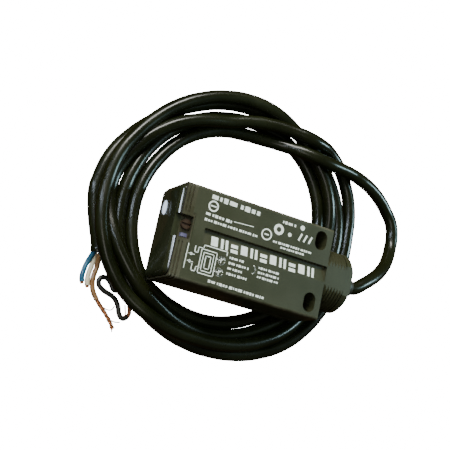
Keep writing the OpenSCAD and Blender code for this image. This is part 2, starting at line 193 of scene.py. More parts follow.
def edge_highlight_patches() -> Tree:
    """A painted highlight along the long edges of a box that is centred on X, broken into patches.

    Returns:
        A group whose one output is 0 on the faces and rises to 1, in patches, along the edges, where the
        highlight is painted.
    """
    tree = group_tree("edge_highlight_patches", {"Vector": (0.0, 0.0, 0.0), "Half Width": 0.0135, "Half Depth": 0.008,
                                       "Reach": 0.0009},
                      {"Edge Highlight": "NodeSocketFloat"})
    into, out = tree.nodes["In"], tree.nodes["Out"]
    split = tree.nodes.new("ShaderNodeSeparateXYZ")
    tree.links.new(into.outputs["Vector"], split.inputs[0])
    near = []
    for axis, half in (("Y", "Half Width"), ("Z", "Half Depth")):
        gap = calc(tree, "SUBTRACT", into.outputs[half], calc(tree, "ABSOLUTE", split.outputs[axis]))
        near.append(calc(tree, "SUBTRACT", 1.0, calc(tree, "DIVIDE", gap, into.outputs["Reach"]), clamp=True))
    edge = calc(tree, "MULTIPLY", near[0], near[1])
    # the patches vary the strength of the painted edge highlight
    patch_scale, least_highlight = 420.0, 0.25
    patches = remap(tree, noise(tree, into.outputs["Vector"], patch_scale, 5.0), 0.38, 0.6, least_highlight, 1.0)
    tree.links.new(calc(tree, "MULTIPLY", edge, patches, clamp=True), out.inputs["Edge Highlight"])
    return tree


def drawn_lines() -> Tree:
    """Fine lines along X, as a drawing die or a brush leaves them.

    Returns:
        A group whose output Lines is a height from 0 to 1.
    """
    tree = group_tree("drawn_lines", {"Vector": (0.0, 0.0, 0.0), "Pitch": 3000.0, "Stretch": 0.04},
                      {"Lines": "NodeSocketFloat"})
    into, out = tree.nodes["In"], tree.nodes["Out"]
    split = tree.nodes.new("ShaderNodeSeparateXYZ")
    join = tree.nodes.new("ShaderNodeCombineXYZ")
    tree.links.new(into.outputs["Vector"], split.inputs[0])
    tree.links.new(calc(tree, "MULTIPLY", split.outputs["X"], into.outputs["Stretch"]), join.inputs["X"])
    tree.links.new(split.outputs["Y"], join.inputs["Y"])
    tree.links.new(split.outputs["Z"], join.inputs["Z"])
    tree.links.new(noise(tree, join.outputs[0], into.outputs["Pitch"], 2.0), out.inputs["Lines"])
    return tree


@dataclass
class Effects:
    """The node groups that the finishes share, built once."""

    grain: Tree = field(default_factory=moulded_grain)
    # the group that paints a highlight along long edges
    edge_highlight: Tree = field(default_factory=edge_highlight_patches)
    lines: Tree = field(default_factory=drawn_lines)


# ---------------------------------------------------------------- finishes

class Relief(Enum):
    """What gives a finish its fine relief."""

    GRAIN = "grain"
    LINES = "lines"


@dataclass(frozen=True)
class Finish:
    """One material: two tones, a spread of gloss and a fine relief.

    Args:
        name: the material's name.
        base: main colour, linear.
        tone: the colour that its clouds and grain turn to.
        smooth: lowest roughness.
        rough: highest roughness.
        clouds: scale of the colour clouds, per metre.
        grain: scale of the fine relief, per metre.
        depth: height of the relief in millimetres.
        metal: metallic value.
        coat: weight of a clear coat.
        shine: how strongly it mirrors, where 0.5 is an ordinary plastic.
        clear: how much light it lets through.
        glow: strength of the light it gives.
        edge_highlight: colour of the highlight painted along its long edges, or None.
        relief: what the relief is made of.
    """

    name: str
    base: Rgb
    tone: Rgb
    smooth: float = 0.4
    rough: float = 0.6
    clouds: float = 150.0
    grain: float = 2500.0
    depth: float = 0.01
    metal: float = 0.0
    coat: float = 0.0
    shine: float = 0.5
    clear: float = 0.0
    glow: float = 0.0
    edge_highlight: Rgb | None = None
    relief: Relief = Relief.GRAIN

    def colour(self, tree: Tree, mask: Socket,
               first: Rgb | Socket, second: Rgb) -> Socket:
        """Mixes two colours by a mask.

        Args:
            tree: the material's tree.
            mask: 0 for the first colour, 1 for the second.
            first: a colour or a socket that gives one.
            second: the other colour.

        Returns:
            The mixed colour.
        """
        mix = tree.nodes.new("ShaderNodeMix")
        mix.data_type = "RGBA"
        tree.links.new(mask, mix.inputs["Factor"])
        if isinstance(first, tuple):
            mix.inputs["A"].default_value = (*first, 1.0)
        else:
            tree.links.new(first, mix.inputs["A"])
        mix.inputs["B"].default_value = (*second, 1.0)
        return mix.outputs["Result"]

    def material(self, effects: Effects) -> bpy.types.Material:
        """Makes the material.

        Args:
            effects: the shared node groups.

        Returns:
            The new material.
        """
        made = bpy.data.materials.new(self.name)
        made.use_nodes = True
        tree = made.node_tree
        shader = next(n for n in tree.nodes if n.type == "BSDF_PRINCIPLED")
        place = tree.nodes.new("ShaderNodeTexCoord").outputs["Object"]
        grain = tree.nodes.new("ShaderNodeGroup")
        grain.node_tree = effects.grain
        tree.links.new(place, grain.inputs["Vector"])
        for label, value in (("Clouds", self.clouds), ("Grain", self.grain), ("Smooth", self.smooth),
                             ("Rough", self.rough)):
            grain.inputs[label].default_value = value
        colour = self.colour(tree, grain.outputs["Tone"], self.base, self.tone)
        # painted highlight: the long edges turn towards a lighter colour, in patches
        if self.edge_highlight:
            edges = tree.nodes.new("ShaderNodeGroup")
            edges.node_tree = effects.edge_highlight
            tree.links.new(place, edges.inputs["Vector"])
            colour = self.colour(tree, edges.outputs["Edge Highlight"], colour, self.edge_highlight)
        tree.links.new(colour, shader.inputs["Base Color"])
        tree.links.new(grain.outputs["Roughness"], shader.inputs["Roughness"])
        height = grain.outputs["Height"]
        if self.relief is Relief.LINES:
            lines = tree.nodes.new("ShaderNodeGroup")
            lines.node_tree = effects.lines
            lines.inputs["Pitch"].default_value = self.grain
            tree.links.new(place, lines.inputs["Vector"])
            height = lines.outputs["Lines"]
        bump = tree.nodes.new("ShaderNodeBump")
        bump.inputs["Strength"].default_value = BUMP_STRENGTH
        bump.inputs["Distance"].default_value = self.depth * MM
        tree.links.new(height, bump.inputs["Height"])
        tree.links.new(bump.outputs["Normal"], shader.inputs["Normal"])
        shader.inputs["Metallic"].default_value = self.metal
        shader.inputs["Coat Weight"].default_value = self.coat
        shader.inputs["Specular IOR Level"].default_value = self.shine
        shader.inputs["Coat Roughness"].default_value = COAT_ROUGHNESS
        shader.inputs["Transmission Weight"].default_value = self.clear
        if self.glow:
            tree.links.new(colour, shader.inputs["Emission Color"])
            shader.inputs["Emission Strength"].default_value = self.glow
        return made


# the last colour of the body and of the bezel is a painted highlight along their long edges
BODY = Finish("body_plastic", (0.0265, 0.0285, 0.0115), (0.037, 0.0385, 0.017), 0.36, 0.5, 90, 2600, 0.018,
              shine=0.35, edge_highlight=(0.12, 0.115, 0.08))
BEZEL = Finish("bezel_plastic", (0.038, 0.036, 0.019), (0.066, 0.063, 0.038), 0.26, 0.4, 140, 2600, 0.012,
               shine=0.4, edge_highlight=(0.22, 0.21, 0.16))
WINDOW = Finish("window_acrylic", (0.016, 0.019, 0.008), (0.028, 0.032, 0.016), 0.05, 0.1, 60, 500, 0.002)
GASKET = Finish("gasket_rubber", (0.008, 0.008, 0.008), (0.014, 0.014, 0.014), 0.6, 0.8)
HOLDER = Finish("holder_plastic", (0.010, 0.010, 0.010), (0.016, 0.016, 0.016), 0.5, 0.7)
LENS = Finish("lens_acrylic", (0.90, 0.93, 0.96), (0.97, 0.98, 1.0), 0.02, 0.05, 60, 500, 0.001, clear=1.0)
# the light guide's violet tint is a painted glint, the violet-white highlight at the window's notch
GUIDE_GLINT = Finish("guide_acrylic", (0.14, 0.13, 0.24), (0.24, 0.23, 0.36), 0.06, 0.14, 300, 900, 0.003,
               clear=0.4)
LAMP_RED = Finish("lamp_red", (0.55, 0.03, 0.03), (0.7, 0.06, 0.05), 0.08, 0.15, coat=0.6, clear=0.4)
CAN = Finish("can_metal", (0.55, 0.55, 0.53), (0.68, 0.67, 0.64), 0.22, 0.36, metal=1.0, relief=Relief.LINES)
BOARD = Finish("board_laminate", (0.012, 0.10, 0.035), (0.03, 0.16, 0.06), 0.25, 0.4, 400, 1200, 0.02,
               coat=0.4)
CHIP = Finish("chip_epoxy", (0.012, 0.012, 0.013), (0.022, 0.022, 0.024), 0.5, 0.65, 500, 4000, 0.01)
SHIELD = Finish("shield_metal", (0.62, 0.63, 0.62), (0.74, 0.74, 0.72), 0.24, 0.4, metal=1.0,
                relief=Relief.LINES)
CAPACITOR = Finish("capacitor_can", (0.66, 0.66, 0.63), (0.78, 0.77, 0.74), 0.3, 0.42, metal=0.9)
RESISTOR = Finish("resistor_ceramic", (0.014, 0.014, 0.018), (0.03, 0.03, 0.035), 0.35, 0.5)
POT = Finish("pot_body", (0.012, 0.03, 0.16), (0.02, 0.05, 0.22), 0.35, 0.5)
LAMP_GREEN = Finish("lamp_green", (0.04, 0.5, 0.08), (0.08, 0.65, 0.12), 0.08, 0.15, clear=0.3, glow=0.3)
LAMP_YELLOW = Finish("lamp_yellow", (0.75, 0.42, 0.02), (0.85, 0.52, 0.05), 0.08, 0.15, clear=0.3, glow=0.3)
LAMP_ORANGE = Finish("lamp_orange", (0.75, 0.18, 0.02), (0.85, 0.26, 0.04), 0.08, 0.15, clear=0.3, glow=0.3)
ADJUSTER = Finish("adjuster_plastic", (0.020, 0.011, 0.005), (0.040, 0.022, 0.011), 0.35, 0.5, 900, 4000,
                  0.01, shine=0.3)
ROTOR = Finish("rotor_plastic", (0.58, 0.54, 0.42), (0.68, 0.64, 0.52), 0.4, 0.55)
INNER_LEAD = Finish("lead_insulation", (0.16, 0.05, 0.02), (0.22, 0.08, 0.03), 0.3, 0.45)
POTTING = Finish("potting_resin", (0.010, 0.010, 0.010), (0.018, 0.018, 0.016), 0.2, 0.35, coat=0.4)
JACKET = Finish("cable_jacket", (0.0036, 0.0050, 0.0010), (0.0095, 0.0115, 0.0026), 0.19, 0.32, 70, 1400,
                0.02, shine=0.37)
SLEEVE = Finish("sleeve_metal", (0.66, 0.66, 0.65), (0.78, 0.78, 0.76), 0.28, 0.42, metal=1.0)
BOOT = Finish("boot_rubber", (0.016, 0.016, 0.011), (0.028, 0.028, 0.020), 0.42, 0.58, 200, 2600, 0.02)
PRINT = Finish("face_ink", (0.86, 0.89, 0.82), (0.70, 0.73, 0.65), 0.5, 0.65, 700, 5000, 0.004)
BLUE = Finish("insulation_blue", (0.008, 0.052, 0.115), (0.028, 0.125, 0.205), 0.25, 0.38, 260, 1500, 0.01)
BROWN = Finish("insulation_brown", (0.17, 0.080, 0.028), (0.30, 0.17, 0.075), 0.25, 0.4, 260, 1500, 0.01)
WHITE = Finish("insulation_white", (0.56, 0.49, 0.33), (0.72, 0.65, 0.47), 0.28, 0.42, 260, 1500, 0.01)
BLACK = Finish("insulation_black", (0.012, 0.012, 0.009), (0.026, 0.025, 0.018), 0.25, 0.4, 260, 1500, 0.01)
COPPER = Finish("bare_copper", (0.22, 0.085, 0.035), (0.48, 0.19, 0.08), 0.3, 0.5, 900, 4000, 0.006,
                metal=0.8)
FLOOR = Finish("pale_floor", (0.86, 0.86, 0.86), (0.88, 0.88, 0.88), 0.9, 0.95, 4, 40, 0.0, glow=22.0)
CARD = Finish("bounce_card", (0.62, 0.76, 1.0), (0.74, 0.85, 1.0), 0.8, 0.9, 4, 40, 0.0, glow=9.0)

NODE_FINISH = {
    "housing": BODY, "front_bezel": BEZEL, "window_gasket": GASKET, "front_window": WINDOW,
    "lens_block": HOLDER, "emitter_lens": LENS, "receiver_lens": LENS, "emitter_led": LAMP_RED,
    "receiver_diode": CAN, "optics_board": BOARD, "main_board": BOARD, "board_header": CHIP,
    "controller_chip": CHIP, "amplifier_shield": SHIELD, "regulator": CHIP, "output_transistors": CHIP,
    "capacitors": CAPACITOR, "resistors": RESISTOR, "adjuster_board": BOARD, "potentiometer": POT,
    "power_led": LAMP_GREEN, "output_led": LAMP_YELLOW, "margin_led": LAMP_ORANGE, "light_guide": GUIDE_GLINT,
    "adjuster_screw": ADJUSTER, "pot_rotor": ROTOR, "adjuster_seal": GASKET, "board_leads": INNER_LEAD,
    "potting_plug": POTTING, "cable_stub": JACKET, "crimp_sleeve": SLEEVE, "cable_boot": BOOT,
}


# ---------------------------------------------------------------- small tools

@dataclass
class Palette:
    """Makes each finish's material the first time it is asked for."""

    effects: Effects = field(default_factory=Effects)
    made: dict[str, bpy.types.Material] = field(default_factory=dict)

    def get(self, finish: Finish) -> bpy.types.Material:
        """Finds the material of a finish.

        Args:
            finish: the finish.

        Returns:
            Its material.
        """
        if finish.name not in self.made:
            self.made[finish.name] = finish.material(self.effects)
        return self.made[finish.name]

    def dress(self, piece: Piece, finish: Finish) -> None:
        """Gives a piece one finish all over.

        Args:
            piece: the piece.
            finish: its finish.
        """
        if not piece.material_slots:
            piece.data.materials.append(None)
        for slot in piece.material_slots:
            slot.material = self.get(finish)


def deselect() -> None:
    """Leaves nothing selected."""
    bpy.ops.object.select_all(action="DESELECT")


def pick(*pieces: Piece) -> None:
    """Selects some pieces and nothing else.

    Args:
        pieces: the pieces; the first one becomes active.
    """
    deselect()
    for piece in pieces:
        piece.select_set(True)
    bpy.context.view_layer.objects.active = pieces[0]


def settle(piece: Piece, name: str) -> Piece:
    """Names a piece and puts its place, turn and size into its mesh.

    Args:
        piece: the piece.
        name: its new name.

    Returns:
        The same piece.
    """
    pick(piece)
    bpy.ops.object.transform_apply(location=True, rotation=True, scale=True)
    piece.name = name
    piece.data.name = name
    return piece


def merge(parts: list[Piece], name: str) -> Piece:
    """Joins several meshes into one settled piece.

    Args:
        parts: the meshes.
        name: the piece's name.

    Returns:
        The joined piece.
    """
    pick(*parts)
    bpy.ops.object.join()
    return settle(parts[0], name)


def repeat(model: Piece, places: list[Matrix]) -> list[Piece]:
    """Puts a model at the first place, and a copy with its own mesh at each other one.

    Args:
        model: the shape that repeats.
        places: where each one goes.

    Returns:
        The model and its copies.
    """
    made = [model]
    for _ in places[1:]:
        twin = model.copy()
        twin.data = model.data.copy()
        bpy.context.scene.collection.objects.link(twin)
        made.append(twin)
    for piece, place in zip(made, places):
        piece.matrix_world = place
    return made


def metres(points: list[Point]) -> list[Vector]:
    """Returns points given in millimetres as vectors in metres."""
    return [Vector(p) * MM for p in points]


def smooth_curve(name: str, paths: list[list[Vector]], radius: float, resolution: int, sides: int) -> Piece:
    """Makes a round tube along one or more smooth paths.

    Args:
        name: the curve's name.
        paths: the points of each path, in metres.
        radius: the tube's radius in millimetres.
        resolution: steps between two points.
        sides: bevel resolution.

    Returns:
        The curve object, with closed ends.
    """
    data = bpy.data.curves.new(name, "CURVE")
    data.dimensions = "3D"
    data.resolution_u = resolution
    data.bevel_depth = radius * MM
    data.bevel_resolution = sides
    data.use_fill_caps = True
    for path in paths:
        spline = data.splines.new("BEZIER")
        spline.bezier_points.add(len(path) - 1)
        for knot, place in zip(spline.bezier_points, path):
            knot.co = place
            knot.handle_left_type = "AUTO"
            knot.handle_right_type = "AUTO"
    piece = bpy.data.objects.new(name, data)
    bpy.context.scene.collection.objects.link(piece)
    return piece


def to_mesh(piece: Piece) -> Piece:
    """Turns a curve into a mesh of its own.

    Args:
        piece: the curve.

    Returns:
        The mesh.
    """
    pick(piece)
    bpy.ops.object.convert(target="MESH")
    return bpy.context.view_layer.objects.active


# ---------------------------------------------------------------- the lead

@dataclass
class WoundLead:
    """The free cable: from the boot down to the ring, round it, and out to its cut end.

    Args:
        diameter: the cable's diameter.
        centre: the middle of the ring.
        lay: height of the cable's middle where it lies on the surface.
        step: the angle from one point of the ring to the next, in degrees.
        lip_long: length of the jacket's cut lip.
        lip_wall: the jacket's wall.
        lip_deep: how far the lip is open.
        lip_round: rounding of the lip's edges.
        from_boot: the route from the boot to the ring.
        to_end: the route from the ring to the cut end.
        laps: turned angle in degrees, radius, and rise above the surface, where the laps change course.
    """

    diameter: float = 4.0
    centre: Flat = (-25.4, 10.0)
    lay: float = -10.0
    step: float = 12.0
    lip_long: float = 1.2
    lip_wall: float = 0.38
    lip_deep: float = 0.5
    lip_round: float = 0.09
    from_boot: tuple[Point, ...] = (
        (13.3, 0, 0), (15.4, 0.6, 0), (18.2, 2.7, -0.4), (22.2, 5.8, -1.8), (26.2, 9.7, -4.2),
        (29.4, 14, -7.2), (31.3, 18.6, -9.5), (31.5, 22.9, -10), (30.2, 27, -10), (27.4, 30.1, -9.7),
        (23.9, 32.4, -8.6), (19.5, 34.3, -7.2), (14.9, 35.6, -6.2), (10.4, 36.5, -5.9))
    to_end: tuple[Point, ...] = (
        (-67.8, 8, -10), (-67.2, 4.4, -10), (-66.1, 0.6, -10), (-64.8, -3, -10), (-63.5, -6.2, -10),
        (-62.8, -8.8, -10))
    laps: tuple[tuple[float, float, float], ...] = (
        (45, 37.0, 6.8), (52, 33.9, 7.1), (60, 31.6, 4.8), (75, 29.4, 1.0), (90, 28.0, 0), (150, 28.6, 0),
        (180, 29.9, 0), (210, 31.6, 0), (225, 32.3, 0), (240, 31.3, 0), (270, 29.8, 0), (300, 28.6, 0),
        (330, 28.5, 0), (360, 29.4, 0), (375, 30.6, 0), (390, 31.8, 0), (405, 32.7, 0), (420, 33.1, 0),
        (435, 33.0, 0), (450, 32.3, 0), (465, 31.9, 0), (480, 32.1, 0), (495, 32.3, 0), (510, 32.7, 0),
        (525, 33.2, 0), (540, 34.0, 0), (570, 35.5, 0), (585, 36.6, 0), (600, 37.4, 0), (630, 37.9, 0),
        (660, 39.2, 0), (675, 39.9, 0), (705, 40.2, 0), (720, 40.5, 0), (735, 41.7, 0), (750, 43.5, 0),
        (765, 41.8, 2.6), (780, 36.4, 7.1), (795, 33.6, 5.0), (810, 31.6, 4.0), (825, 30.1, 3.5),
        (840, 31.0, 3.9), (855, 33.1, 4.0), (870, 35.2, 3.4), (885, 37.1, 0.9), (900, 38.1, 0),
        (915, 37.8, 1.6), (930, 36.6, 3.9), (945, 35.6, 3.9), (960, 34.2, 2.4), (975, 33.9, 0.9),
        (990, 33.6, 0), (1020, 32.6, 0), (1050, 32.4, 0), (1080, 33.1, 0), (1095, 33.8, 1.0),
        (1110, 34.6, 2.7), (1125, 35.1, 3.1), (1140, 35.7, 3.1), (1155, 36.8, 3.7), (1170, 37.5, 3.9),
        (1200, 37.6, 3.9), (1215, 37.9, 3.9), (1230, 38.4, 3.9), (1245, 39.8, 3.6), (1260, 40.4, 3.5),
        (1275, 41.0, 3.9), (1290, 40.7, 3.1), (1305, 39.8, 2.7), (1320, 38.4, 3.8), (1335, 37.0, 3.9),
        (1350, 35.9, 3.5), (1365, 35.8, 3.0), (1380, 35.9, 2.3), (1395, 36.2, 1.1), (1410, 36.3, 0),
        (1440, 36.8, 0), (1455, 37.8, 0), (1470, 38.3, 0), (1500, 37.9, 0), (1515, 37.2, 0), (1530, 36.5, 0),
        (1560, 36.4, 0), (1575, 37.2, 0), (1590, 38.6, 0), (1605, 41.0, 0), (1620, 42.3, 0))

    def eased(self, column: int, angle: float) -> float:
        """Reads one column of the laps at an angle, smoothly and without overshoot.

        Args:
            column: 1 for the radius, 2 for the rise.
            angle: the turned angle, in degrees.

        Returns:
            The value there, in millimetres.
        """
        knots = [(k[0], k[column]) for k in self.laps]
        slopes = [(b[1] - a[1]) / (b[0] - a[0]) for a, b in zip(knots, knots[1:])]
        i = next((k for k in range(len(slopes)) if angle <= knots[k + 1][0]), len(slopes) - 1)

        def tangent(k: int) -> float:
            """Finds the slope at a knot: none at a turning point, and the harmonic mean elsewhere.

            Args:
                k: the knot's number.

            Returns:
                The slope there.
            """
            if k == 0 or k == len(slopes):
                return slopes[min(k, len(slopes) - 1)]
            before, after = slopes[k - 1], slopes[k]
            return 2 * before * after / (before + after) if before * after > 0 else 0.0

        (start, low), (end, high) = knots[i], knots[i + 1]
        span = end - start
        u = (angle - start) / span
        return (low * (1 + 2 * u) * (1 - u) ** 2 + tangent(i) * span * u * (1 - u) ** 2
                + high * u * u * (3 - 2 * u) + tangent(i + 1) * span * u * u * (u - 1))

    def ring(self) -> list[Point]:
        """Works out the points of the wound laps, an even angle apart.

        Returns:
            The points, in millimetres.
        """
        first, last = self.laps[0][0], self.laps[-1][0]
        count = round((last - first) / self.step)
        points = []
        for k in range(count + 1):
            angle = first + (last - first) * k / count
            radius = self.eased(1, angle)
            turn = math.radians(angle)
            points.append((self.centre[0] + radius * math.cos(turn), self.centre[1] + radius * math.sin(turn),
                           self.lay + self.eased(2, angle)))
        return points

    def build(self) -> Piece:
        """Makes the cable as one curve."""
        path = metres([*self.from_boot, *self.ring(), *self.to_end])
        return smooth_curve("free_cable", [path], self.diameter / 2, 5, 6)

    def cut_end(self) -> Piece:
        """Makes the jacket's cut lip at the end of the cable, open where the conductors come out.

        Returns:
            The lip.
        """
        tip, before = Vector(self.to_end[-1]) * MM, Vector(self.to_end[-2]) * MM
        along = (tip - before).normalized()
        radius, length = self.diameter / 2 * MM, self.lip_long * MM
        deselect()
        bpy.ops.mesh.primitive_cylinder_add(vertices=40, radius=radius, depth=length, location=tip,
                                            rotation=along.to_track_quat("Z", "Y").to_euler())
        lip = bpy.context.active_object
        bpy.ops.object.mode_set(mode="EDIT")
        bpy.ops.mesh.select_all(action="DESELECT")
        mesh = bmesh.from_edit_mesh(lip.data)
        for face in mesh.faces:
            if face.normal.z > FACING:
                face.select = True
        bmesh.update_edit_mesh(lip.data)
        bpy.ops.mesh.inset(thickness=self.lip_wall * MM)
        bpy.ops.mesh.extrude_region_move(TRANSFORM_OT_translate={"value": along * -self.lip_deep * MM})
        bpy.ops.object.mode_set(mode="OBJECT")
        bevel = lip.modifiers.new("soft_lip", "BEVEL")
        bevel.width = self.lip_round * MM
        bevel.segments = 2
        bevel.limit_method = "ANGLE"
        pick(lip)
        bpy.ops.object.modifier_apply(modifier="soft_lip")
        bpy.ops.object.shade_smooth_by_angle()
        return settle(lip, "jacket_cut_end")


@dataclass
class Conductor:
    """One conductor past the cable's cut end: its insulation and the bare strands at its tip.

    Args:
        name: its colour's name, which its pieces' names start with.
        node: the solid that its insulation stands for.
        finish: the insulation's finish.
        route: its points, from inside the cable to its tip.
        bare: how many of the route's last points are bare.
        strands: how many strands it has.
        frayed: routes of single hairs that have come loose.
        metal: the strands' finish.
        diameter: the insulation's diameter.
        strand_r: a strand's radius.
        strand_gap: distance from the bundle's middle to its outer strands, in strand radii.
        lay_length: length of one full twist.
    """

    name: str
    node: str
    finish: Finish
    route: tuple[Point, ...]
    bare: int = 1
    strands: int = 7
    frayed: tuple[tuple[Point, ...], ...] = ()
    metal: Finish = COPPER
    diameter: float = 1.5
    strand_r: float = 0.2
    strand_gap: float = 2.1
    lay_length: float = 5.0

    def insulated(self) -> list[Point]:
        """Returns the points under the insulation."""
        return list(self.route[:len(self.route) - self.bare])

    def bared(self, samples: int = 8) -> list[Vector]:
        """Draws a fine smooth line along the bare end, starting inside the insulation.

        Args:
            samples: points drawn for each stretch of the route.

        Returns:
            The line's points, in metres.
        """
        knots = metres(list(self.route[len(self.route) - self.bare - 2:]))
        fine = []
        for k in range(len(knots) - 1):
            before, after = knots[max(k - 1, 0)], knots[min(k + 2, len(knots) - 1)]
            for j in range(samples):
                u = j / samples
                fine.append(0.5 * (2 * knots[k] + (knots[k + 1] - before) * u
                                   + (2 * before - 5 * knots[k] + 4 * knots[k + 1] - after) * u * u
                                   + (3 * knots[k] - before - 3 * knots[k + 1] + after) * u ** 3))
        fine.append(knots[-1])
        return fine[samples // 2:]

    def twisted(self) -> list[list[Vector]]:
        """Lays the strands round the bare line, opening a little and ending unevenly at the tip.

        Returns:
            Each strand's points, in metres.
        """
        line = self.bared()
        paths = []
        for s in range(self.strands):
            travelled = 0.0
            path = []
            for k, place in enumerate(line):
                ahead = line[min(k + 1, len(line) - 1)] - line[max(k - 1, 0)]
                side = ahead.cross(UP).normalized()
                travelled += (place - line[max(k - 1, 0)]).length
                far = (k / len(line)) ** 3
                opening = 1 - 0.45 * far + 0.6 * far * math.sin(2.4 * s + 1)
                radius = 0 if s == 0 else self.strand_r * self.strand_gap * MM * opening
                turn = 2 * math.pi * (s / max(self.strands - 1, 1) + travelled / (self.lay_length * MM))
                path.append(place + side * radius * math.cos(turn) + UP * radius * math.sin(turn))
            missing = (s * 2) % 5 if len(path) > 12 else 0
            paths.append(path[:len(path) - missing])
        return paths

    def build(self, palette: Palette) -> list[Piece]:
        """Makes and dresses the insulation and the strands.

        Args:
            palette: where the materials come from.

        Returns:
            The pieces, insulation first.
        """
        covered = [metres(self.insulated())]
        skin = to_mesh(smooth_curve(f"{self.name}_insulation", covered, self.diameter / 2, 6, 4))
        palette.dress(skin, self.finish)
        paths = self.twisted() + [metres(list(hair)) for hair in self.frayed]
        bundle = to_mesh(smooth_curve(f"{self.name}_strands", paths, self.strand_r, 3, 2))
        palette.dress(bundle, self.metal)
        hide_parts(self.node)
        for piece in (skin, bundle):
            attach(piece, "sensor_body")
            log.info("%s: %d faces", piece.name, len(piece.data.polygons))
        return [skin, bundle]


WIRE_Z = -11.25
CONDUCTORS = (
    Conductor("blue", "wire_blue", BLUE, (
        (-63.6, -8.4, -9.2), (-64, -10.6, -10.4), (-64.5, -12.8, WIRE_Z), (-64.9, -15, WIRE_Z),
        (-65, -17, WIRE_Z), (-64.7, -18.3, WIRE_Z), (-64.5, -19, WIRE_Z))),
    Conductor("white", "wire_white", WHITE, (
        (-63.5, -8.4, -10.8), (-62.8, -11, WIRE_Z), (-63, -13.3, WIRE_Z), (-63.3, -15.6, WIRE_Z),
        (-63.2, -17.8, WIRE_Z), (-62.9, -19, WIRE_Z), (-62.7, -19.6, WIRE_Z))),
    Conductor("brown", "wire_brown", BROWN, (
        (-62, -8.4, -9.2), (-61.8, -10.8, -10.2), (-61.4, -13.2, WIRE_Z), (-61.7, -15.6, WIRE_Z),
        (-61.6, -18, WIRE_Z), (-60.8, -20.2, WIRE_Z), (-59.3, -22.1, WIRE_Z), (-57.4, -23.9, WIRE_Z),
        (-55.5, -25.6, WIRE_Z), (-53.9, -27.3, WIRE_Z), (-52.6, -29, WIRE_Z)), 4, 10, (
        ((-58.4, -22.8, -11.2), (-56.4, -24, -10.8), (-54.6, -23.9, -10.6), (-53.9, -22.6, -10.7)),
        ((-56.4, -24.8, -11.2), (-54.6, -26.4, -11), (-52.8, -26.9, -10.9), (-51.2, -26.6, -11)),
        ((-54.6, -26.6, -11.2), (-53.3, -28.2, -11.4), (-52.6, -29.8, -11.5)))),
    Conductor("black", "wire_black", BLACK, (
        (-62, -8.4, -10.8), (-60.6, -9.8, WIRE_Z), (-58.6, -11, WIRE_Z), (-56.8, -12.6, WIRE_Z),
        (-55, -14.2, WIRE_Z), (-53.7, -16, WIRE_Z), (-53.7, -17.7, WIRE_Z), (-54.9, -18.2, WIRE_Z),
        (-56.1, -17, WIRE_Z), (-57.3, -15.8, WIRE_Z), (-58.7, -15.5, WIRE_Z), (-59.8, -16.3, WIRE_Z),
        (-59.7, -17.8, WIRE_Z), (-58.4, -18.9, WIRE_Z), (-56.8, -19.5, WIRE_Z), (-55.1, -20, WIRE_Z),
        (-53.7, -21, WIRE_Z), (-52.6, -22.6, WIRE_Z), (-51.9, -24.3, WIRE_Z), (-50.7, -25.3, WIRE_Z),
        (-49.4, -24.6, WIRE_Z), (-49, -22.9, WIRE_Z), (-49.7, -21.3, WIRE_Z)), 2, 9, (
        ((-50.2, -25.2, -11.2), (-50.1, -24.2, -11), (-50.5, -22.8, -10.9), (-50.9, -21.5, -10.9)),)),
)


# ---------------------------------------------------------------- the printed face

